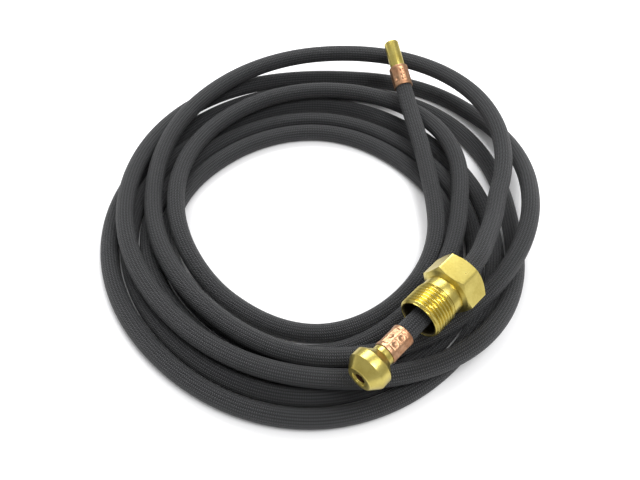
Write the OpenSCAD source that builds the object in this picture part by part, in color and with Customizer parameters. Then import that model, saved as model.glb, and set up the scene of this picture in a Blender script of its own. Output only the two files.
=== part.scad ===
// Power cable of a TIG torch: a braided rubber gas hose with a bare copper
// conductor inside, coiled flat, with a nose nipple and a loose male nut at
// the power end and a plain brass stub at the torch end.
// Units are millimetres. +Z is up and the coil lies on Z = 0.

/* [Hose] */
// Outer diameter of the braided hose
hose_d = 10; // [9:0.1:10.2]
// Bore of the hose
hose_bore_d = 6.8; // [6:0.1:7.4]
// Diameter of the bare copper conductor
conductor_d = 4.6; // [3:0.1:4.8]

/* [Ferrules] */
// Wall of the crimped copper ferrules
ferrule_wall = 0.75; // [0.5:0.05:0.9]
// Length of each ferrule
ferrule_l = 13.5; // [9:0.5:14]
// Width of the plain rim left at the ferrule's front
ferrule_rim_l = 2; // [1:0.25:3]
// Depth of the crimped flats below the ferrule's round rim
crimp_depth = 0.3; // [0.1:0.05:0.4]
// Diameter of the punch marks in the crimped flats
dimple_d = 2.4; // [1:0.1:3]

/* [Nose nipple] */
// Largest diameter of the nose
nose_d = 20.2; // [19:0.1:20.6]
// Diameter of the nose's flat front face
nose_face_d = 12.8; // [11:0.1:15]
// Length of the front cone
nose_front_l = 5; // [4:0.1:7]
// Width of the band at the largest diameter
nose_band_l = 4.9; // [3:0.1:6]
// Length of the rear cone that the nut bears on
nose_rear_l = 4.7; // [4:0.1:6]
// Length of the neck between the rear cone and the ferrule
neck_l = 2.7; // [2:0.1:4]
// Diameter of the neck
neck_d = 10.8; // [10:0.1:12]
// Bore in the nose's front face
nose_bore_d = 5.4; // [5:0.1:6.5]
// Depth of the bore in the nose
nose_bore_l = 12; // [8:0.5:14]
// Diameter of the shallow recess round the bore
nose_recess_d = 8; // [7:0.1:10]
// Depth of the recess
nose_recess_l = 0.4; // [0.2:0.1:0.8]

/* [Stems] */
// Length of each barbed stem inside the hose
stem_l = 12; // [9:0.5:13]
// Wall of the stem under its barbs
stem_wall = 0.55; // [0.5:0.05:0.6]
// Number of barbs on each stem
barb_count = 4; // [2:1:5]

/* [Nut] */
// Major diameter of the nut's male thread
thread_d = 22.22; // [21:0.01:23]
// Pitch of the thread
thread_pitch = 1.814; // [1.5:0.01:2]
// Number of thread crests
thread_crests = 8; // [6:1:9]
// Diameter of the plain collar between thread and hexagon
collar_d = 20.8; // [20:0.1:22]
// Length of the plain collar
collar_l = 6.5; // [3:0.1:8]
// Hexagon across flats
hex_af = 25.4; // [24:0.1:27]
// Length of the hexagon
hex_l = 13; // [9:0.1:14]
// Mouth bore, which bears on the nose's rear cone
mouth_d = 18; // [15:0.1:18.2]
// Wall behind the mouth bore, bored only for the ferrule
back_wall_l = 7; // [5:0.5:9]

/* [Torch stub] */
// Diameter of the plain brass stub
stub_d = 9; // [8:0.1:9.5]
// Bore of the stub
stub_bore_d = 5.4; // [4.5:0.1:6]
// Exposed length of the stub
stub_l = 18.5; // [15:0.5:24]
// Chamfer at the stub's mouth
stub_chamfer = 0.8; // [0.2:0.1:1.2]

/* [Hidden] */

$fn = 64;
lead_sides = 12;
coil_sides = 6;
rings_per_turn = 24;
// Radial clearance between pieces that are pushed together
fit_gap = 0.08;
// Gap between the nut's rear bore and the ferrule that it passes over
slide_gap = 0.15;
// Depth by which the floor turns are cut flat
floor_cut = hose_d / 10;

// Foot of the coil's axis: every place below is measured from here, which
// puts the origin under the middle of the whole part
coil_centre = [-0.2, -6.2, 0];
// Power end: centre of the nose's front face, its heading, and the distances
// along it to the nut's mouth at rest and to the end of the straight hose
nose_at = [17.1, -113.6, 36];
power_yaw = 46.5;
nut_mouth_s = 41.5;
power_straight_end = 82;
// Torch end: centre of the stub's mouth, its heading and its dip
stub_at = [45.2, 117.5, 39];
torch_yaw = -76.6;
torch_dip = 20;

// Radius and height of the hose's centreline at every eighth of a turn,
// clockwise from +X, one row for each turn
turn_radii = [
    [65, 68, 73, 72, 81, 94, 101, 99],
    [78, 77.5, 85, 85, 86, 77.5, 73, 69],
    [74.5, 85, 96.5, 96, 97, 88.5, 84, 80],
    [86, 96.3, 107.5, 106.8, 107.9, 100, 98, 93],
    [97, 107.3, 118.5, 117.5, 118.8, 113, 112, 116],
    [109, 114, 103, 101, 109, 119, 124.5, 134],
    [117, 99, 92, 86, 93.5, 111, 131, 129]
];
turn_heights = [
    [14, 8, 4, 4, 15, 14.5, 14.5, 14.5],
    [16.5, 13.5, 4, 4, 4, 4, 4, 4],
    [4, 4, 4, 4, 4, 4, 4, 4],
    [4, 4, 4, 4, 4, 4, 4, 4],
    [4, 4, 4, 4, 4, 4, 4, 4],
    [4, 15, 15, 14.5, 17, 13, 5, 4],
    [21, 17, 14.5, 15, 16, 21, 20, 26]
];
coil_end_radius = 97;
coil_end_height = 28;
// Free stretches between the coil and the straight runs at the fittings
torch_lead_points = [[55.5, 71, 24], [59, 52, 21.5], [62, 33, 18.5], [64, 16, 16]];
power_lead_points = [[92, -17, 30], [84.5, -35, 33.5]];

// Depth of the barbs on the stems
barb_depth = 0.2;

// Derived sizes
ferrule_d = hose_d + 2 * fit_gap + 2 * ferrule_wall;
nose_l = nose_front_l + nose_band_l + nose_rear_l + neck_l;
stem_d = hose_bore_d * cos(180 / lead_sides) - 2 * fit_gap;
stem_bore_d = stem_d - 2 * barb_depth - 2 * stem_wall;
thread_l = thread_crests * thread_pitch;
thread_depth = 0.6134 * thread_pitch;
nut_l = thread_l + collar_l + hex_l;
nut_back_bore_d = ferrule_d + 2 * slide_gap;
neck_groove_l = 1.2;

// ---- Route of the hose -------------------------------------------------

function flatten_rows(rows, last) = concat([for (row = rows) for (v = row) v], [last]);

coil_radii = flatten_rows(turn_radii, coil_end_radius);
coil_heights = flatten_rows(turn_heights, coil_end_height);

// Value of a list at a place between its entries, on a smooth curve
function entry(list, i) =
    i < 0 ? 2 * list[0] - list[1]
    : i >= len(list) ? 2 * list[len(list) - 1] - list[len(list) - 2]
    : list[i];
function smooth(list, at) =
    let (
        i = min(floor(at), len(list) - 2),
        f = at - i,
        a = entry(list, i - 1),
        b = entry(list, i),
        c = entry(list, i + 1),
        d = entry(list, i + 2)
    )
    0.5 * (2 * b + (c - a) * f + (2 * a - 5 * b + 4 * c - d) * f * f
        + (3 * b - a - 3 * c + d) * f * f * f);

function coil_point(i) =
    let (at = 8 * i / rings_per_turn, angle = -45 * at, r = smooth(coil_radii, at))
    coil_centre + [
        r * cos(angle),
        r * sin(angle),
        max(smooth(coil_heights, at), hose_d / 2 - floor_cut)
    ];

coil_points = [for (i = [0:len(turn_radii) * rings_per_turn]) coil_point(i)];

power_dir = [cos(power_yaw), sin(power_yaw), 0];
torch_dir = [
    cos(torch_yaw) * cos(torch_dip), sin(torch_yaw) * cos(torch_dip), -sin(torch_dip)
];
function power_axis_point(s) = coil_centre + nose_at + s * power_dir;
function torch_axis_point(s) = coil_centre + stub_at + s * torch_dir;

torch_run = [torch_axis_point(stub_l), torch_axis_point(stub_l + ferrule_l)];
power_run = [power_axis_point(power_straight_end), power_axis_point(nose_l)];
hose_points = concat(
    torch_run,
    [for (p = torch_lead_points) coil_centre + p],
    coil_points,
    [for (p = power_lead_points) coil_centre + p],
    power_run
);
coil_first = len(torch_run) + len(torch_lead_points);
coil_last = coil_first + len(coil_points) - 1;
hose_last = len(hose_points) - 1;

// ---- Swept tubes -------------------------------------------------------

function unit(v) = v / norm(v);
// The straight runs at the fittings keep their own heading at both ends
function heading(points, i) =
    let (last = len(points) - 1)
    i <= 1 ? unit(points[1] - points[0])
    : i >= last - 1 ? unit(points[last] - points[last - 1])
    : unit(unit(points[i + 1] - points[i]) + unit(points[i] - points[i - 1]));

// One ring of a tube: a polygon with a flat side below, kept above the floor
function ring(points, i, r, sides) =
    let (
        t = heading(points, i),
        side = unit(cross([0, 0, 1], t)),
        up = cross(t, side)
    )
    [
        for (k = [0:sides - 1])
            let (
                angle = -90 + 180 / sides + 360 * k / sides,
                p = points[i] + r * cos(angle) * side + r * sin(angle) * up
            )
            [p[0], p[1], max(p[2], 0)]
    ];

function wall_faces(rings, sides, start, outward) = [
    for (i = [0:rings - 2])
        for (k = [0:sides - 1])
            let (
                a = start + i * sides + k,
                b = start + i * sides + (k + 1) % sides,
                c = a + sides,
                d = b + sides
            )
            each outward ? [[a, b, d], [a, d, c]] : [[a, d, b], [a, c, d]]
];

// A closed rod from ring "first" to ring "last"
module rod(points, first, last, r, sides) {
    rings = last - first + 1;
    skin = [for (i = [first:last]) each ring(points, i, r, sides)];
    front_cap = [for (k = [1:sides - 2]) [0, k + 1, k]];
    base = (rings - 1) * sides;
    back_cap = [for (k = [1:sides - 2]) [base, base + k, base + k + 1]];
    polyhedron(skin, concat(wall_faces(rings, sides, 0, true), front_cap, back_cap));
}

// A closed tube with a bore from ring "first" to ring "last"
module tube(points, first, last, r_out, r_in, sides) {
    rings = last - first + 1;
    outer = [for (i = [first:last]) each ring(points, i, r_out, sides)];
    inner = [for (i = [first:last]) each ring(points, i, r_in, sides)];
    inner_start = rings * sides;
    end_row = (rings - 1) * sides;
    front_cap = [
        for (k = [0:sides - 1])
            let (n = (k + 1) % sides)
            each [[k, inner_start + k, inner_start + n], [k, inner_start + n, n]]
    ];
    back_cap = [
        for (k = [0:sides - 1])
            let (a = end_row + k, b = end_row + (k + 1) % sides)
            each [[a, b, inner_start + b], [a, inner_start + b, inner_start + a]]
    ];
    polyhedron(
        concat(outer, inner),
        concat(
            wall_faces(rings, sides, 0, true),
            wall_faces(rings, sides, inner_start, false),
            front_cap,
            back_cap
        )
    );
}

// ---- Least gap of the coil to itself -------------------------------------

function clamp01(v) = min(max(v, 0), 1);
// Distance between two straight stretches, a to b and c to d
function stretch_gap(a, b, c, d) =
    let (
        u = b - a,
        v = d - c,
        w = a - c,
        uu = u * u,
        vv = v * v,
        uv = u * v,
        den = uu * vv - uv * uv,
        s0 = den > 1e-9 ? clamp01((uv * (v * w) - vv * (u * w)) / den) : 0,
        t0 = (uv * s0 + v * w) / vv,
        t = clamp01(t0),
        s = t == t0 ? s0 : clamp01((uv * t - u * w) / uu)
    )
    norm(a + s * u - c - t * v);

coil_gap = min([
    for (i = [0:len(coil_points) - 2])
        for (turn = [1:len(turn_radii)])
            for (step = [-3:3])
                let (j = i + turn * rings_per_turn + step)
                if (j < len(coil_points) - 1)
                    stretch_gap(
                        coil_points[i], coil_points[i + 1],
                        coil_points[j], coil_points[j + 1]
                    )
]) - hose_d;
echo(least_gap_between_turns = coil_gap);

function route_length(points, i = 0) =
    i >= len(points) - 1 ? 0
    : norm(points[i + 1] - points[i]) + route_length(points, i + 1);
echo(hose_length = route_length(hose_points));

// ---- Placement ------------------------------------------------------------

// Stands a fitting, drawn along +Z from its front, on the power end's axis
module on_power_axis(s = 0)
    translate(power_axis_point(s)) rotate([0, 90, power_yaw]) children();

// Stands a fitting, drawn along +Z from its front, on the torch end's axis
module on_torch_axis(s = 0)
    translate(torch_axis_point(s)) rotate([0, 90 + torch_dip, torch_yaw]) children();

// ---- Pieces -----------------------------------------------------------------

// Barbed stem that the hose is pushed over, drawn from its root at Z = 0
module barbed_stem() {
    land_l = stem_l / 24;
    rise_l = stem_l / 60;
    barb_l = (stem_l - 2 * land_l) / barb_count;
    rotate_extrude()
        polygon(concat(
            [[stem_bore_d / 2, 0], [stem_d / 2 - barb_depth, 0]],
            [
                for (i = [0:barb_count - 1])
                    each [
                        [stem_d / 2 - barb_depth, land_l + i * barb_l],
                        [stem_d / 2, land_l + i * barb_l + rise_l],
                        [stem_d / 2 - barb_depth, land_l + (i + 1) * barb_l - rise_l / 2]
                    ]
            ],
            [[stem_d / 2 - barb_depth, stem_l], [stem_bore_d / 2, stem_l]]
        ));
}

// Crimped copper sleeve, drawn from its front rim at Z = 0
module ferrule() {
    bore_r = hose_d / 2 + fit_gap;
    flats_l = ferrule_l - 2 * ferrule_rim_l;
    difference() {
        cylinder(d = ferrule_d, h = ferrule_l);
        translate([0, 0, -1]) cylinder(r = bore_r, h = ferrule_l + 2);
        translate([0, 0, ferrule_rim_l])
            difference() {
                cylinder(d = ferrule_d + 2, h = flats_l);
                rotate(22.5)
                    cylinder(
                        r = (ferrule_d / 2 - crimp_depth) / cos(22.5), h = flats_l, $fn = 8
                    );
            }
        for (side = [0, 180], z = [0.33, 0.7])
            rotate(90 + side)
                translate([ferrule_d / 2 + dimple_d / 2 - 2 * crimp_depth, 0, z * ferrule_l])
                    sphere(d = dimple_d);
    }
}

module nose_nipple() {
    ridge_z = nose_front_l + nose_band_l;
    neck_z = ridge_z + nose_rear_l;
    color("#b99a3a")
        on_power_axis()
            union() {
                rotate_extrude()
                    polygon([
                        [nose_bore_d / 2, nose_recess_l],
                        [nose_recess_d / 2, nose_recess_l],
                        [nose_recess_d / 2, 0],
                        [nose_face_d / 2, 0],
                        [nose_d / 2, nose_front_l],
                        [nose_d / 2, ridge_z],
                        [neck_d / 2, neck_z],
                        [neck_d / 2, nose_l],
                        [stem_bore_d / 2, nose_l],
                        [stem_bore_d / 2, nose_bore_l],
                        [nose_bore_d / 2, nose_bore_l]
                    ]);
                translate([0, 0, nose_l]) barbed_stem();
            }
}

module nose_ferrule() {
    color("#c77b58")
        on_power_axis(nose_l)
            ferrule();
}

// Loose male nut, drawn from its mouth at Z = 0
module male_nut() {
    mouth_chamfer = 0.6;
    crest_land = thread_pitch / 8;
    root_r = thread_d / 2 - thread_depth;
    hex_z = thread_l + collar_l;
    bore_l = nut_l - back_wall_l;
    bore_step = (mouth_d - nut_back_bore_d) / 2;
    color("#b99a3a")
        on_power_axis(nut_mouth_s)
            difference() {
                union() {
                    rotate_extrude()
                        polygon(concat(
                            [[0, 0]],
                            [
                                for (i = [0:thread_crests - 1])
                                    let (z = (i + 0.5) * thread_pitch)
                                    each [
                                        [root_r, z - thread_pitch / 2 + crest_land],
                                        [thread_d / 2, z - crest_land / 2],
                                        [thread_d / 2, z + crest_land / 2]
                                    ]
                            ],
                            [
                                [root_r, thread_l],
                                [collar_d / 2, thread_l],
                                [collar_d / 2, hex_z - neck_groove_l],
                                [root_r, hex_z - neck_groove_l],
                                [root_r, hex_z],
                                [0, hex_z]
                            ]
                        ));
                    translate([0, 0, hex_z])
                        intersection() {
                            rotate(30)
                                cylinder(r = hex_af / 2 / cos(30), h = hex_l, $fn = 6);
                            hex_chamfer();
                        }
                }
                rotate_extrude()
                    polygon([
                        [0, -1],
                        [mouth_d / 2 + mouth_chamfer + 1, -1],
                        [mouth_d / 2, mouth_chamfer],
                        [mouth_d / 2, bore_l],
                        [nut_back_bore_d / 2, bore_l + bore_step],
                        [nut_back_bore_d / 2, nut_l + 1],
                        [0, nut_l + 1]
                    ]);
            }
}

// Round envelope that takes the corners off both ends of the hexagon
module hex_chamfer() {
    corner_r = hex_af / 2 / cos(30);
    cut_r = hex_af / 2 - 0.3;
    cut_l = (corner_r - cut_r) * tan(30);
    rotate_extrude()
        polygon([
            [0, 0],
            [cut_r, 0],
            [corner_r, cut_l],
            [corner_r, hex_l - cut_l],
            [cut_r, hex_l],
            [0, hex_l]
        ]);
}

module hose_power_lead() {
    color("#2b2c2e")
        tube(hose_points, coil_last, hose_last, hose_d / 2, hose_bore_d / 2, lead_sides);
}

module hose_coil() {
    color("#2b2c2e")
        tube(hose_points, coil_first, coil_last, hose_d / 2, hose_bore_d / 2, coil_sides);
}

module hose_torch_lead() {
    color("#2b2c2e")
        tube(hose_points, 0, coil_first, hose_d / 2, hose_bore_d / 2, lead_sides);
}

module copper_conductor() {
    color("#c77b58")
        rod(hose_points, 0, hose_last, conductor_d / 2, coil_sides);
}

module torch_ferrule() {
    color("#c77b58")
        on_torch_axis(stub_l)
            ferrule();
}

module torch_stub() {
    color("#b99a3a")
        on_torch_axis()
            union() {
                rotate_extrude()
                    polygon([
                        [stub_bore_d / 2, 0],
                        [stub_d / 2 - stub_chamfer, 0],
                        [stub_d / 2, stub_chamfer],
                        [stub_d / 2, stub_l],
                        [stem_bore_d / 2, stub_l],
                        [stem_bore_d / 2, stub_l - 1],
                        [stub_bore_d / 2, stub_l - 1]
                    ]);
                translate([0, 0, stub_l]) barbed_stem();
            }
}

nose_nipple();
nose_ferrule();
male_nut();
hose_power_lead();
hose_coil();
hose_torch_lead();
copper_conductor();
torch_ferrule();
torch_stub();
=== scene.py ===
import math

import bmesh
import bpy
import numpy as np
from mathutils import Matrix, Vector


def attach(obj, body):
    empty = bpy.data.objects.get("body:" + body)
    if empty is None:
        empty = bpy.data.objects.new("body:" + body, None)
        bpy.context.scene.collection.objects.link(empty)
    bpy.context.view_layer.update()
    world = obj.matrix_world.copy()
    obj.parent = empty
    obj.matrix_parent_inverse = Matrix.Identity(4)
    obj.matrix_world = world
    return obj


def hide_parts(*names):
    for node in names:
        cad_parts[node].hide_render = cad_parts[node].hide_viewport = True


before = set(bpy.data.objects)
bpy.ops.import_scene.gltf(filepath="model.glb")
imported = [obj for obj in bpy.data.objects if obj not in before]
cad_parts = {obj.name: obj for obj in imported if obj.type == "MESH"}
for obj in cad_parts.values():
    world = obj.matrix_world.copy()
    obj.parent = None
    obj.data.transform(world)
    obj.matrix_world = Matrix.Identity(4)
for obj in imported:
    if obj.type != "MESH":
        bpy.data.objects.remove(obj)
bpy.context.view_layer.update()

MM = 0.001

# ---- Sizes, in millimetres, as in the part's own source ---------------------

HOSE_D = 10.0
HOSE_BORE_D = 6.8
FERRULE_WALL = 0.75
FERRULE_L = 13.5
FERRULE_RIM_L = 2.0
FIT_GAP = 0.08
FERRULE_D = HOSE_D + 2 * FIT_GAP + 2 * FERRULE_WALL
NOSE_D = 20.2
NOSE_FACE_D = 12.8
NOSE_FRONT_L = 5.0
NOSE_BAND_L = 4.9
NOSE_REAR_L = 4.7
NECK_L = 2.7
NECK_D = 10.8
NOSE_BORE_D = 5.4
NOSE_BORE_L = 12.0
NOSE_RECESS_D = 8.0
NOSE_RECESS_L = 0.4
NOSE_L = NOSE_FRONT_L + NOSE_BAND_L + NOSE_REAR_L + NECK_L
STEM_L = 12.0
STEM_D = 6.41
STEM_BORE_D = 4.91
BARB_COUNT = 4
BARB_DEPTH = 0.2
STEM_LAND_L = 0.5
BARB_RISE_L = 0.2
BARB_FALL_L = 0.1
THREAD_D = 22.22
THREAD_PITCH = 1.814
THREAD_DEPTH = 0.6134 * THREAD_PITCH
THREAD_L = 8 * THREAD_PITCH
COLLAR_D = 20.8
COLLAR_L = 6.5
HEX_AF = 25.4
HEX_L = 13.0
HEX_CORNER_CUT = 0.3
COLLAR_GROOVE_L = 1.2
THREAD_RUN_OUT_L = 1.2
MOUTH_D = 18.0
BACK_WALL_L = 7.0
NUT_L = THREAD_L + COLLAR_L + HEX_L
NUT_BACK_BORE_D = FERRULE_D + 0.3
STUB_D = 9.0
STUB_BORE_D = 5.4
STUB_L = 18.5
STUB_CHAMFER = 0.6

COIL_CENTRE = np.array([-0.2, -6.2, 0.0])
NOSE_AT = np.array([17.1, -113.6, 36.0])
POWER_YAW = 46.5
NUT_MOUTH_S = 41.5
POWER_STRAIGHT_END = 82.0
STUB_AT = np.array([45.2, 117.5, 39.0])
TORCH_YAW = -76.6
TORCH_DIP = 20.0

# Radius and height of the hose's centreline at every eighth of a turn,
# clockwise from +X, one row for each turn, then the last point
TURN_RADII = [
    [65, 68, 73, 72, 81, 94, 101, 99],
    [78, 77.5, 85, 85, 86, 77.5, 73, 69],
    [74.5, 85, 96.5, 96, 97, 88.5, 84, 80],
    [86, 96.3, 107.5, 106.8, 107.9, 100, 98, 93],
    [97, 107.3, 118.5, 117.5, 118.8, 113, 112, 116],
    [109, 114, 103, 101, 109, 119, 124.5, 134],
    [117, 99, 92, 86, 93.5, 111, 131, 129],
    [97],
]
TURN_HEIGHTS = [
    [14, 8, 4, 4, 15, 14.5, 14.5, 14.5],
    [16.5, 13.5, 4, 4, 4, 4, 4, 4],
    [4, 4, 4, 4, 4, 4, 4, 4],
    [4, 4, 4, 4, 4, 4, 4, 4],
    [4, 4, 4, 4, 4, 4, 4, 4],
    [4, 15, 15, 14.5, 17, 13, 5, 4],
    [21, 17, 14.5, 15, 16, 21, 20, 26],
    [28],
]
LOWEST_CENTRE = 4.0
TORCH_LEAD = [[55.5, 71, 24], [59, 52, 21.5], [62, 33, 18.5], [64, 16, 16]]
POWER_LEAD = [[92, -17, 30], [84.5, -35, 33.5]]

# ---- Camera: the photograph's viewing angle ---------------------------------

IMAGE_W = 640
CAMERA_ELEVATION = 53.0
CAMERA_DISTANCE = 392.0
FOCAL_PX = 687.0
LOOK_AT = np.array([-0.2, -16.2, 0.0])

camera_data = bpy.data.cameras.new("camera")
camera_data.sensor_width = 36.0
camera_data.lens = FOCAL_PX * camera_data.sensor_width / IMAGE_W
camera_data.clip_start = 0.01
camera_data.clip_end = 20.0
camera = bpy.data.objects.new("camera", camera_data)
bpy.context.scene.collection.objects.link(camera)
elevation = math.radians(CAMERA_ELEVATION)
camera.location = Vector(LOOK_AT * MM) + CAMERA_DISTANCE * MM * Vector(
    (0.0, -math.cos(elevation), math.sin(elevation))
)
camera.rotation_euler = (math.pi / 2 - elevation, 0.0, 0.0)
bpy.context.scene.camera = camera

# ---- Material helpers -------------------------------------------------------


class Nodes:
    """A material's node tree, with short calls for the nodes used here."""

    def __init__(self, name):
        self.material = bpy.data.materials.new(name)
        self.material.use_nodes = True
        self.tree = self.material.node_tree
        self.shader = self.tree.nodes["Principled BSDF"]

    def add(self, kind, **settings):
        node = self.tree.nodes.new("ShaderNode" + kind)
        for key, value in settings.items():
            setattr(node, key, value)
        return node

    def feed(self, socket, value):
        if isinstance(value, bpy.types.NodeSocket):
            self.tree.links.new(value, socket)
        else:
            socket.default_value = value

    def maths(self, operation, a, b=0.0, clamp=False):
        node = self.add("Math", operation=operation, use_clamp=clamp)
        self.feed(node.inputs[0], a)
        self.feed(node.inputs[1], b)
        return node.outputs[0]

    def noise(self, vector, scale, detail=2.0, roughness=0.5):
        node = self.add("TexNoise")
        self.feed(node.inputs["Vector"], vector)
        node.inputs["Scale"].default_value = scale
        node.inputs["Detail"].default_value = detail
        node.inputs["Roughness"].default_value = roughness
        return node.outputs["Fac"]

    def ramp(self, factor, stops):
        node = self.add("ValToRGB")
        self.feed(node.inputs["Fac"], factor)
        elements = node.color_ramp.elements
        while len(elements) < len(stops):
            elements.new(0.5)
        for element, (place, value) in zip(elements, stops):
            element.position = place
            colour = value if isinstance(value, tuple) else (value, value, value)
            element.color = (*colour, 1.0)
        return node.outputs["Color"]

    def mix(self, factor, a, b, blend="MIX"):
        node = self.add("Mix", data_type="RGBA", blend_type=blend)
        self.feed(node.inputs[0], factor)
        for socket, value in ((node.inputs[6], a), (node.inputs[7], b)):
            self.feed(socket, (*value, 1.0) if isinstance(value, tuple) else value)
        return node.outputs[2]

    def bump(self, height, distance, strength=1.0, normal=None):
        node = self.add("Bump")
        node.inputs["Strength"].default_value = strength
        node.inputs["Distance"].default_value = distance
        self.feed(node.inputs["Height"], height)
        if normal is not None:
            self.feed(node.inputs["Normal"], normal)
        return node.outputs["Normal"]

    def place(self, yaw=0.0, pitch=0.0, scale=(1.0, 1.0, 1.0)):
        """Object coordinates turned so that X runs along a fitting's axis."""
        coords = self.add("TexCoord").outputs["Object"]
        turn = self.add("Mapping", vector_type="TEXTURE")
        turn.inputs["Rotation"].default_value = (0.0, math.radians(pitch), math.radians(yaw))
        self.feed(turn.inputs["Vector"], coords)
        stretch = self.add("Mapping", vector_type="POINT")
        stretch.inputs["Scale"].default_value = scale
        self.feed(stretch.inputs["Vector"], turn.outputs["Vector"])
        return stretch.outputs["Vector"]


def braided_rubber():
    n = Nodes("braided_rubber")
    uv = n.add("UVMap", uv_map="along").outputs["UV"]
    split = n.add("SeparateXYZ")
    n.feed(split.inputs[0], uv)
    around, along = split.outputs["X"], split.outputs["Y"]
    # The two sets of yarns cross as helices: U counts yarns, V counts leads
    left = n.maths("SINE", n.maths("MULTIPLY", n.maths("ADD", around, along), math.pi))
    right = n.maths("SINE", n.maths("MULTIPLY", n.maths("SUBTRACT", around, along), math.pi))
    cells = n.maths("MULTIPLY", left, right)
    yarn = n.maths("POWER", n.maths("ABSOLUTE", cells), 0.6)
    over = n.maths("GREATER_THAN", cells, 0.0)
    coords = n.add("TexCoord").outputs["Object"]
    patches = n.noise(coords, 18.0, 4.0, 0.6)
    fibres = n.noise(coords, 1600.0, 2.0, 0.6)
    dull = n.mix(patches, (0.004, 0.0045, 0.0055), (0.010, 0.0105, 0.012))
    # The yarn crests take this lighter colour, a painted sheen, lightest where one set of yarns
    # lies over the other; the grooves keep the dark rubber colour, so the weave also carries
    # painted shade.
    painted_crest_sheen = n.mix(over, (0.014, 0.0145, 0.0165), (0.085, 0.0875, 0.093))
    colour = n.mix(yarn, dull, painted_crest_sheen)
    n.feed(n.shader.inputs["Base Color"], colour)
    rough = n.maths("ADD", n.maths("MULTIPLY", fibres, 0.18), 0.42)
    n.feed(n.shader.inputs["Roughness"], rough)
    n.shader.inputs["IOR"].default_value = 1.48
    n.shader.inputs["Specular IOR Level"].default_value = 0.5
    n.shader.inputs["Sheen Weight"].default_value = 0.08
    n.shader.inputs["Sheen Roughness"].default_value = 0.5
    weave = n.bump(yarn, 0.0006)
    n.feed(n.shader.inputs["Normal"], n.bump(fibres, 0.00004, 1.0, weave))
    return n.material


def metal(name, light, dark, roughness, yaw=0.0, pitch=0.0, turned=0.00001, dents=0.0):
    """A worn metal, with fine rings where it was turned on a lathe."""
    n = Nodes(name)
    n.shader.inputs["Metallic"].default_value = 1.0
    coords = n.add("TexCoord").outputs["Object"]
    clouds = n.noise(coords, 140.0, 4.0, 0.6)
    specks = n.noise(coords, 1100.0, 3.0, 0.6)
    rings = n.noise(n.place(yaw, pitch, (1.0, 0.02, 0.02)), 5200.0, 3.0, 0.7)
    tone = n.maths("ADD", n.maths("MULTIPLY", clouds, 0.7), n.maths("MULTIPLY", specks, 0.3))
    colour = n.mix(n.ramp(tone, [(0.36, 0.0), (0.66, 1.0)]), light, dark)
    n.feed(n.shader.inputs["Base Color"], colour)
    rough = n.maths("MULTIPLY", n.maths("ADD", n.maths("MULTIPLY", clouds, 0.5), 0.75), roughness)
    n.feed(n.shader.inputs["Roughness"], rough)
    normal = n.bump(rings, turned)
    if dents:
        normal = n.bump(n.noise(coords, 420.0, 2.0, 0.5), dents, 1.0, normal)
    n.feed(n.shader.inputs["Normal"], normal)
    return n.material


BRASS_LIGHT = (0.70, 0.59, 0.175)
BRASS_DARK = (0.54, 0.43, 0.10)
COPPER_LIGHT = (0.60, 0.37, 0.22)
COPPER_DARK = (0.42, 0.20, 0.105)

HOSE_LOOK = braided_rubber()
NOSE_LOOK = metal("turned_brass_nose", BRASS_LIGHT, BRASS_DARK, 0.30, POWER_YAW)
STUB_LOOK = metal("turned_brass_stub", BRASS_LIGHT, BRASS_DARK, 0.30, TORCH_YAW, TORCH_DIP)
NOSE_COPPER = metal("crimped_copper_nose", COPPER_LIGHT, COPPER_DARK, 0.40, POWER_YAW, dents=0.0002)
STUB_COPPER = metal(
    "crimped_copper_stub", COPPER_LIGHT, COPPER_DARK, 0.40, TORCH_YAW, TORCH_DIP, dents=0.0002
)
# The bores are much darker than the metal round them: painted shade inside the holes.
BORE_PAINTED_SHADE = metal("painted_shade_bore", (0.16, 0.085, 0.05), (0.07, 0.035, 0.02), 0.55, POWER_YAW)
NUT_BORE_PAINTED_SHADE = metal("painted_shade_brass_bore", (0.20, 0.17, 0.08), (0.10, 0.08, 0.04), 0.45, POWER_YAW)
WIRE_LOOK = metal("bare_copper_wire", COPPER_LIGHT, COPPER_DARK, 0.35)

# ---- Mesh helpers -----------------------------------------------------------


def grid_object(name, rows, materials, row_material=None, sharp=32.0, closed=True, uv=None):
    """One skin from rings of points. Closed joins the last ring to the first."""
    rows = [np.asarray(row, float) for row in rows]
    count = len(rows[0])
    mesh = bpy.data.meshes.new(name)
    vertices = np.vstack(rows) * MM
    links = len(rows) if closed else len(rows) - 1
    faces = []
    for i in range(links):
        a, b = i * count, ((i + 1) % len(rows)) * count
        for k in range(count):
            n = (k + 1) % count
            faces.append((a + k, a + n, b + n, b + k))
    mesh.from_pydata(vertices.tolist(), [], faces)
    for look in materials:
        mesh.materials.append(look)
    if row_material is not None:
        index = np.repeat([row_material[i] for i in range(links)], count)
        mesh.polygons.foreach_set("material_index", index.astype(np.int32))
    if uv is not None:
        around, along = uv
        layer = mesh.uv_layers.new(name="along")
        corners = np.zeros((links, count, 4, 2))
        k = np.arange(count)
        corners[:, :, 0, 0] = corners[:, :, 3, 0] = around * k / count
        corners[:, :, 1, 0] = corners[:, :, 2, 0] = around * (k + 1) / count
        start = np.asarray(along)[:links]
        stop = np.append(along, along[-1])[1 : links + 1]
        corners[:, :, 0, 1] = corners[:, :, 1, 1] = start[:, None]
        corners[:, :, 2, 1] = corners[:, :, 3, 1] = stop[:, None]
        layer.data.foreach_set("uv", corners.ravel())
    finish_mesh(mesh, sharp)
    piece = bpy.data.objects.new(name, mesh)
    bpy.context.scene.collection.objects.link(piece)
    return piece


def finish_mesh(mesh, sharp):
    """Faces outward, smooth shading, and sharp edges above an angle."""
    bm = bmesh.new()
    bm.from_mesh(mesh)
    bmesh.ops.recalc_face_normals(bm, faces=bm.faces)
    limit = math.radians(sharp)
    for face in bm.faces:
        face.smooth = True
    for edge in bm.edges:
        if len(edge.link_faces) == 2 and edge.calc_face_angle(0.0) > limit:
            edge.smooth = False
    bm.to_mesh(mesh)
    bm.free()
    mesh.update()


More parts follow.
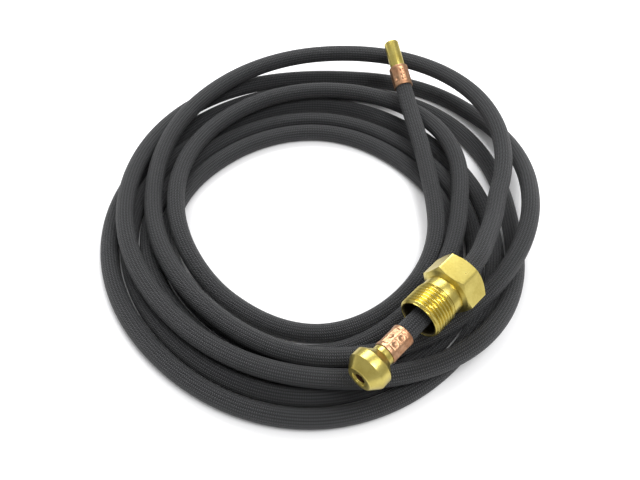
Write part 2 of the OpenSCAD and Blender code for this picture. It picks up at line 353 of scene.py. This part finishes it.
def rounded(profile, radius=0.25, steps=3):
    """A profile of (distance, radius) points with each inner corner rounded."""
    points = [np.array(p, float) for p in profile]
    out = []
    for i, p in enumerate(points):
        before, after = points[i - 1], points[(i + 1) % len(points)]
        reach = min(radius, np.linalg.norm(before - p) / 2.5, np.linalg.norm(after - p) / 2.5)
        a = p + (before - p) / np.linalg.norm(before - p) * reach
        b = p + (after - p) / np.linalg.norm(after - p) * reach
        for t in np.linspace(0.0, 1.0, steps + 1):
            out.append((1 - t) ** 2 * a + 2 * t * (1 - t) * p + t * t * b)
    return out


class Axis:
    """A fitting's axis: distance s from its front, and the angle round it."""

    def __init__(self, start, yaw, dip=0.0):
        yaw, dip = math.radians(yaw), math.radians(dip)
        self.start = COIL_CENTRE + np.asarray(start, float)
        self.along = np.array(
            [math.cos(yaw) * math.cos(dip), math.sin(yaw) * math.cos(dip), -math.sin(dip)]
        )
        side = np.cross([0.0, 0.0, 1.0], self.along)
        self.side = side / np.linalg.norm(side)
        self.up = np.cross(self.along, self.side)

    def point(self, s):
        return self.start + s * self.along

    def ring(self, s, r, theta):
        s = np.broadcast_to(s, theta.shape)[:, None]
        r = np.broadcast_to(r, theta.shape)[:, None]
        return (
            self.start
            + s * self.along
            + r * (np.cos(theta)[:, None] * self.side + np.sin(theta)[:, None] * self.up)
        )


POWER_AXIS = Axis(NOSE_AT, POWER_YAW)
TORCH_AXIS = Axis(STUB_AT, TORCH_YAW, TORCH_DIP)


def angles(count):
    return np.arange(count) * 2 * math.pi / count


def soft_polygon(theta, sides, flat, first_flat, sharpness):
    """Radius of a polygon with slightly rounded corners."""
    total = np.zeros_like(theta)
    for k in range(sides):
        c = np.maximum(np.cos(theta - first_flat - 2 * math.pi * k / sides), 0.0)
        total += c**sharpness
    return flat / total ** (1.0 / sharpness)


# ---- Route of the hose ------------------------------------------------------


def on_curve(values, at):
    """Values between the entries of a list, on a smooth curve."""
    v = np.asarray(values, float)
    v = np.concatenate([2 * v[:1] - v[1:2], v, 2 * v[-1:] - v[-2:-1]])
    i = np.minimum(np.floor(at).astype(int), len(v) - 4)
    f = at - i
    if v.ndim > 1:
        f = f[:, None]
    a, b, c, d = v[i], v[i + 1], v[i + 2], v[i + 3]
    return 0.5 * (
        2 * b
        + (c - a) * f
        + (2 * a - 5 * b + 4 * c - d) * f * f
        + (3 * b - a - 3 * c + d) * f**3
    )


def evenly(points, step):
    """The same line with its points a fixed step apart."""
    gaps = np.linalg.norm(np.diff(points, axis=0), axis=1)
    s = np.concatenate([[0.0], np.cumsum(gaps)])
    at = np.linspace(0.0, s[-1], int(round(s[-1] / step)) + 1)
    return np.stack([np.interp(at, s, points[:, k]) for k in range(3)], axis=1), s[-1]


def hose_route():
    per_entry = 16
    radii = sum(TURN_RADII, [])
    heights = sum(TURN_HEIGHTS, [])
    at = np.arange((len(radii) - 1) * per_entry + 1) / per_entry
    r = on_curve(radii, at)
    z = np.maximum(on_curve(heights, at), LOWEST_CENTRE)
    angle = -math.pi / 4 * at
    coil = COIL_CENTRE + np.stack([r * np.cos(angle), r * np.sin(angle), z], axis=1)
    torch_run = [TORCH_AXIS.point(STUB_L), TORCH_AXIS.point(STUB_L + FERRULE_L)]
    power_run = [POWER_AXIS.point(POWER_STRAIGHT_END), POWER_AXIS.point(NOSE_L)]
    torch_lead = [COIL_CENTRE + np.array(p, float) for p in TORCH_LEAD]
    power_lead = [COIL_CENTRE + np.array(p, float) for p in POWER_LEAD]
    # Each lead is a curve through its own points and the coil's first or last
    first = np.array(torch_run + torch_lead + [coil[0], coil[per_entry // 3]])
    last = np.array([coil[-1 - per_entry // 3], coil[-1]] + power_lead + power_run)
    lead_at = np.arange(1.0, len(first) - 2 + 1e-6, 1 / 12)
    lead_in = on_curve(first, lead_at)
    lead_out = on_curve(last, np.arange(1.0, len(last) - 2 + 1e-6, 1 / 12))
    line = np.vstack([torch_run[:1], lead_in, coil[1:], lead_out[1:], power_run[1:]])
    line, _ = evenly(line, 1.0)
    # Rubber bends evenly, so the small kinks between entries are eased
    smooth = line.copy()
    reach = 9
    weights = np.exp(-0.5 * (np.arange(-reach, reach + 1) / 4.0) ** 2)
    weights /= weights.sum()
    for k in range(3):
        smooth[reach:-reach, k] = np.convolve(line[:, k], weights, mode="valid")
    keep = np.ones(len(line))
    ease = 14
    keep[:ease] = np.linspace(0.0, 1.0, ease)
    keep[-ease:] = np.linspace(1.0, 0.0, ease)
    return line + keep[:, None] * (smooth - line)


ROUTE, HOSE_LENGTH = evenly(hose_route(), 2.5)


def tube_rows(route, radius, sides):
    tangent = np.gradient(route, axis=0)
    tangent /= np.linalg.norm(tangent, axis=1)[:, None]
    side = np.cross([0.0, 0.0, 1.0], tangent)
    side /= np.linalg.norm(side, axis=1)[:, None]
    up = np.cross(tangent, side)
    theta = angles(sides)
    rows = []
    for p, s, u in zip(route, side, up):
        ring = p + radius * (np.cos(theta)[:, None] * s + np.sin(theta)[:, None] * u)
        ring[:, 2] = np.maximum(ring[:, 2], 0.0)
        rows.append(ring)
    return rows


# ---- Hose -------------------------------------------------------------------

BRAID_YARNS = 20
BRAID_LEAD = 22.2
HOSE_SIDES = 28
PLUG_DEPTH = 6

hose_rows = tube_rows(ROUTE, HOSE_D / 2, HOSE_SIDES)
bore_rows = tube_rows(ROUTE, HOSE_BORE_D / 2, HOSE_SIDES)
# The bore is open for a short way in at each end, behind the stems
skin = bore_rows[PLUG_DEPTH:0:-1] + bore_rows[:1] + hose_rows + bore_rows[: -PLUG_DEPTH : -1]
lengths = np.arange(len(ROUTE)) * HOSE_LENGTH / (len(ROUTE) - 1)
along = np.concatenate([lengths[PLUG_DEPTH::-1], lengths, lengths[: -PLUG_DEPTH : -1]])
hose = grid_object(
    "hose_braided",
    skin,
    [HOSE_LOOK],
    closed=False,
    uv=(BRAID_YARNS, along * BRAID_YARNS / BRAID_LEAD),
    sharp=50.0,
)
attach(hose, "cable")
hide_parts("hose_power_lead", "hose_coil", "hose_torch_lead")

# ---- Nose nipple ------------------------------------------------------------

ridge_s = NOSE_FRONT_L + NOSE_BAND_L
neck_s = ridge_s + NOSE_REAR_L
barb_l = (STEM_L - 2 * STEM_LAND_L) / BARB_COUNT
stem_root = STEM_D / 2 - BARB_DEPTH
stem_profile = [(NOSE_L, stem_root)]
for k in range(BARB_COUNT):
    s = NOSE_L + STEM_LAND_L + k * barb_l
    stem_profile += [(s + BARB_RISE_L, STEM_D / 2), (s + barb_l - BARB_FALL_L, stem_root)]
stem_profile += [(NOSE_L + STEM_L, stem_root), (NOSE_L + STEM_L, STEM_BORE_D / 2)]
nose_profile = (
    rounded(
        [
            (NOSE_RECESS_L, NOSE_BORE_D / 2),
            (NOSE_RECESS_L, NOSE_RECESS_D / 2),
            (0.0, NOSE_RECESS_D / 2),
            (0.0, NOSE_FACE_D / 2),
            (NOSE_FRONT_L, NOSE_D / 2),
            (ridge_s, NOSE_D / 2),
            (neck_s, NECK_D / 2),
            (NOSE_L, NECK_D / 2),
            (NOSE_L, STEM_D / 2),
        ],
        0.3,
    )[2:-4]
    + [np.array(p) for p in [(NOSE_L, NECK_D / 2)] + stem_profile]
    + [
        np.array(p)
        for p in [
            (NOSE_BORE_L, STEM_BORE_D / 2),
            (NOSE_BORE_L, NOSE_BORE_D / 2),
            (NOSE_RECESS_L + 0.4, NOSE_BORE_D / 2),
        ]
    ]
)


def turned_piece(name, axis, profile, look):
    """A brass piece of revolution whose last rings, its bore, take a darker colour as painted
    shade.
    """
    theta = angles(96)
    rows = [axis.ring(p[0], p[1], theta) for p in profile]
    bore_from = len(profile) - 4
    in_bore = [1 if bore_from <= i < len(rows) - 1 else 0 for i in range(len(rows))]
    piece = grid_object(name, rows, [look, BORE_PAINTED_SHADE], row_material=in_bore)
    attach(piece, "cable")
    return piece


nose = turned_piece("nose_turned", POWER_AXIS, nose_profile, NOSE_LOOK)
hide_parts("nose_nipple")

# ---- Torch stub -------------------------------------------------------------

stub_shift = STUB_L - NOSE_L
stub_profile = (
    rounded(
        [
            (0.0, STUB_BORE_D / 2),
            (0.0, STUB_D / 2 - STUB_CHAMFER),
            (STUB_CHAMFER, STUB_D / 2),
            (STUB_L, STUB_D / 2),
            (STUB_L, STEM_D / 2),
        ],
        0.25,
    )[2:-4]
    + [np.array((STUB_L, STUB_D / 2))]
    + [np.array((s + stub_shift, r)) for s, r in stem_profile]
    + [
        np.array(p)
        for p in [
            (STUB_L - 1.0, STEM_BORE_D / 2),
            (STUB_L - 1.0, STUB_BORE_D / 2),
            (0.4, STUB_BORE_D / 2),
        ]
    ]
)
stub = turned_piece("stub_turned", TORCH_AXIS, stub_profile, STUB_LOOK)
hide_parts("torch_stub")

# ---- Crimped ferrules -------------------------------------------------------


def ferrule(name, axis, start, look, first_flat, dimples):
    """A copper sleeve, pressed to eight flats between two round rims."""
    theta = angles(120)
    outer = FERRULE_D / 2
    inner = HOSE_D / 2 + FIT_GAP
    flats = soft_polygon(theta, 8, outer - 0.32, first_flat, 90.0)
    rows = []
    for s in np.linspace(0.0, FERRULE_L, 66):
        into = min(s - FERRULE_RIM_L, FERRULE_L - FERRULE_RIM_L - s)
        pressed = min(max(into / 0.7 + 0.5, 0.0), 1.0)
        pressed = pressed * pressed * (3 - 2 * pressed)
        edge = max(0.0, 0.35 - min(s, FERRULE_L - s))
        r = outer - pressed * (outer - np.minimum(flats, outer)) - edge * edge / 0.7
        for where, angle in dimples:
            across = (np.abs((theta - angle + math.pi) % (2 * math.pi) - math.pi)) * outer
            d2 = across**2 + (s - where) ** 2
            r = r - 0.42 * np.exp(-d2 / 0.9) + 0.10 * np.exp(-((np.sqrt(d2) - 1.7) ** 2) / 0.25)
        rows.append(axis.ring(start + s, np.minimum(r, outer), theta))
    rows += [axis.ring(start + s, inner, theta) for s in (FERRULE_L, 0.0)]
    piece = grid_object(name, rows, [look], sharp=50.0)
    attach(piece, "cable")
    return piece


eighth = math.pi / 8
nose_dimples = [
    (s, math.radians(a)) for s in (4.4, 9.0) for a in (110.0, 155.0, 290.0)
] + [(6.6, math.radians(65.0)), (6.6, math.radians(245.0))]
stub_dimples = [(s, math.radians(a)) for s in (4.0, 7.2, 10.0) for a in (90.0, 270.0)] + [
    (5.5, math.radians(45.0)),
    (8.8, math.radians(135.0)),
]
nose_ferrule = ferrule("ferrule_nose", POWER_AXIS, NOSE_L, NOSE_COPPER, eighth, nose_dimples)
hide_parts("nose_ferrule")
stub_ferrule = ferrule("ferrule_stub", TORCH_AXIS, STUB_L, STUB_COPPER, 0.0, stub_dimples)
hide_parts("torch_ferrule")

# ---- Male nut ---------------------------------------------------------------


def thread_radius(s, theta):
    """Right-handed thread with flat crests, chamfered at its mouth."""
    phase = (s / THREAD_PITCH - theta / (2 * math.pi)) % 1.0
    from_crest = np.abs(phase - 0.5) * THREAD_PITCH
    flank = np.maximum(from_crest - THREAD_PITCH / 16, 0.0) * math.sqrt(3.0)
    depth = np.minimum(flank, THREAD_DEPTH)
    run_out = np.clip((s - THREAD_L) / THREAD_RUN_OUT_L + 1.0, 0.0, 1.0)
    r = THREAD_D / 2 - depth - run_out * (THREAD_DEPTH - depth)
    return np.minimum(r, THREAD_D / 2 - THREAD_DEPTH + 0.1 + s)


def male_nut():
    theta = angles(192)
    s0 = NUT_MOUTH_S
    root = THREAD_D / 2 - THREAD_DEPTH
    rows = []
    for s in np.linspace(0.0, THREAD_L, 118):
        rows.append(POWER_AXIS.ring(s0 + s, thread_radius(s, theta), theta))
    hex_s = THREAD_L + COLLAR_L
    collar = rounded(
        [
            (THREAD_L, root - 1.0),
            (THREAD_L, root),
            (THREAD_L, COLLAR_D / 2),
            (hex_s - COLLAR_GROOVE_L, COLLAR_D / 2),
            (hex_s - COLLAR_GROOVE_L, root),
            (hex_s, root),
            (hex_s, root + 1.0),
        ],
        0.25,
    )[8:-8]
    rows += [POWER_AXIS.ring(s0 + p[0], p[1], theta) for p in collar]
    # The hexagon has a flat on top; a cone takes the corners off both ends
    hexagon = soft_polygon(theta, 6, HEX_AF / 2, math.pi / 2, 110.0)
    cut_r = HEX_AF / 2 - HEX_CORNER_CUT
    slope = math.tan(math.radians(30.0))
    reach = np.maximum((hexagon - cut_r) * slope, 0.0)
    rows.append(POWER_AXIS.ring(s0 + hex_s, cut_r - 0.15, theta))
    rows.append(POWER_AXIS.ring(s0 + hex_s + 0.03, cut_r, theta))
    shares = np.linspace(0.08, 1.0, 6)
    for share in shares:
        r = cut_r + (hexagon - cut_r) * share
        rows.append(POWER_AXIS.ring(s0 + hex_s + reach * share, r, theta))
    for share in shares[::-1]:
        r = cut_r + (hexagon - cut_r) * share
        rows.append(POWER_AXIS.ring(s0 + NUT_L - reach * share, r, theta))
    back = NUT_BACK_BORE_D / 2
    wall_s = NUT_L - BACK_WALL_L
    inside = rounded(
        [
            (NUT_L, cut_r - 1.0),
            (NUT_L, back + 0.4),
            (NUT_L - 0.4, back),
            (wall_s + MOUTH_D / 2 - back, back),
            (wall_s, MOUTH_D / 2),
            (0.6, MOUTH_D / 2),
            (0.0, MOUTH_D / 2 + 0.6),
            (0.0, root),
        ],
        0.2,
    )[2:-2]
    # The rings inside the nut take the darker colour, painted shade in its mouth and bore.
    bore_from = len(rows) + 6
    rows += [POWER_AXIS.ring(s0 + p[0], p[1], theta) for p in inside]
    return grid_object(
        "nut_male",
        rows,
        [NOSE_LOOK, NUT_BORE_PAINTED_SHADE],
        row_material=[1 if bore_from <= i < len(rows) - 6 else 0 for i in range(len(rows))],
        sharp=28.0,
    )


nut = male_nut()
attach(nut, "nut")
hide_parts("male_nut")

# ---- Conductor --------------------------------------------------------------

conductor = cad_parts["copper_conductor"]
conductor.data.materials.clear()
conductor.data.materials.append(WIRE_LOOK)

# ---- Floor, backdrop and light ----------------------------------------------


def floor_and_world():
    bpy.ops.mesh.primitive_plane_add(size=8.0, location=(0.0, 0.0, 0.0))
    floor = bpy.context.object
    floor.name = "floor"
    n = Nodes("pale_floor")
    tree = n.tree
    tree.nodes.remove(n.shader)
    output = tree.nodes["Material Output"]
    diffuse = n.add("BsdfDiffuse")
    diffuse.inputs["Color"].default_value = (0.86, 0.86, 0.87, 1.0)
    glow = n.add("Emission")
    path = n.add("LightPath")
    # The glow that whitens the floor fades where the hose closes in over it: painted shade in the
    # gaps between strands and round the coil
    open_sky = n.add("AmbientOcclusion", samples=8)
    open_sky.inputs["Distance"].default_value = 0.014
    # and grows far away, where the lamps no longer reach
    from_middle = n.add("VectorMath", operation="LENGTH")
    n.feed(from_middle.inputs[0], n.add("NewGeometry").outputs["Position"])
    farther = n.add("MapRange")
    n.feed(farther.inputs["Value"], from_middle.outputs["Value"])
    for socket, value in (("From Min", 0.3), ("From Max", 1.5), ("To Min", 0.45), ("To Max", 1.0)):
        farther.inputs[socket].default_value = value
    shut_in = n.maths("POWER", open_sky.outputs["AO"], 2.0)
    glow_level = n.maths("MULTIPLY", shut_in, farther.outputs["Result"])
    seen = n.maths("MULTIPLY", path.outputs["Is Camera Ray"], glow_level)
    n.feed(glow.inputs["Strength"], seen)
    both = n.add("AddShader")
    tree.links.new(diffuse.outputs[0], both.inputs[0])
    tree.links.new(glow.outputs[0], both.inputs[1])
    tree.links.new(both.outputs[0], output.inputs["Surface"])
    floor.data.materials.append(n.material)

    world = bpy.data.worlds.new("studio")
    bpy.context.scene.world = world
    world.use_nodes = True
    nodes, links = world.node_tree.nodes, world.node_tree.links
    background = nodes["Background"]
    background.inputs["Color"].default_value = (1.0, 1.0, 1.0, 1.0)
    ray = nodes.new("ShaderNodeLightPath")
    white = nodes.new("ShaderNodeMath")
    white.operation = "MAXIMUM"
    links.new(ray.outputs["Is Camera Ray"], white.inputs[0])
    links.new(ray.outputs["Is Transmission Ray"], white.inputs[1])
    glossy = nodes.new("ShaderNodeMath")
    glossy.operation = "MULTIPLY_ADD"
    links.new(ray.outputs["Is Glossy Ray"], glossy.inputs[0])
    glossy.inputs[1].default_value = 0.15
    glossy.inputs[2].default_value = 0.35
    strength = nodes.new("ShaderNodeMath")
    strength.operation = "MAXIMUM"
    links.new(white.outputs[0], strength.inputs[0])
    links.new(glossy.outputs[0], strength.inputs[1])
    links.new(strength.outputs[0], background.inputs["Strength"])


def softbox(name, place, target, size, power):
    lamp = bpy.data.lights.new(name, "AREA")
    lamp.shape = "RECTANGLE"
    lamp.size, lamp.size_y = size
    lamp.energy = power
    holder = bpy.data.objects.new(name, lamp)
    holder.location = place
    holder.rotation_euler = (Vector(target) - Vector(place)).to_track_quat("-Z", "Y").to_euler()
    bpy.context.scene.collection.objects.link(holder)


floor_and_world()
softbox("softbox_back", (-0.15, 0.75, 0.75), (0.0, 0.0, 0.0), (0.9, 0.5), 9.0)
softbox("softbox_top", (0.35, -0.25, 1.0), (0.0, 0.0, 0.0), (0.5, 0.5), 7.0)

bpy.context.scene.view_settings.view_transform = "Standard"
